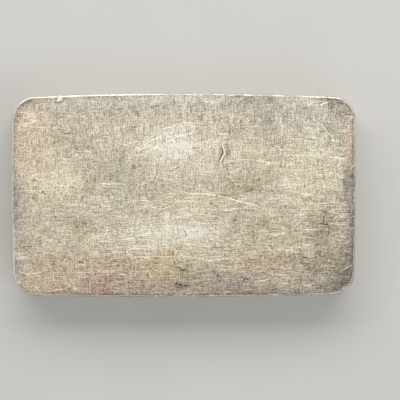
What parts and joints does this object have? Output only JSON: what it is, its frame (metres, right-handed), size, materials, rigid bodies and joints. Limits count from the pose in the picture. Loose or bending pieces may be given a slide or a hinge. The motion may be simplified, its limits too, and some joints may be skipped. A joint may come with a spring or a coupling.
{
  "type": "metal ingot",
  "caption": "Hand-sized pressed silver bar that keeps metal by weight, with bowed sides, rounded corners, a barrelled wall and a blank, scratched face.",
  "frame": {"origin": "middle of the box of the whole bar, on the back face that it lies on", "axes": "+X along the bar, +Y across it towards the side with the slanted nick, +Z out of the blank face"},
  "size_m": [0.073, 0.0434, 0.0096],
  "materials": {
    "worn_silver": "fine silver, finely scratched all over, lightly toned, bright along the edges"
  },
  "bodies": {
    "root": {"ingot": "worn_silver"}
  },
  "joints": []
}
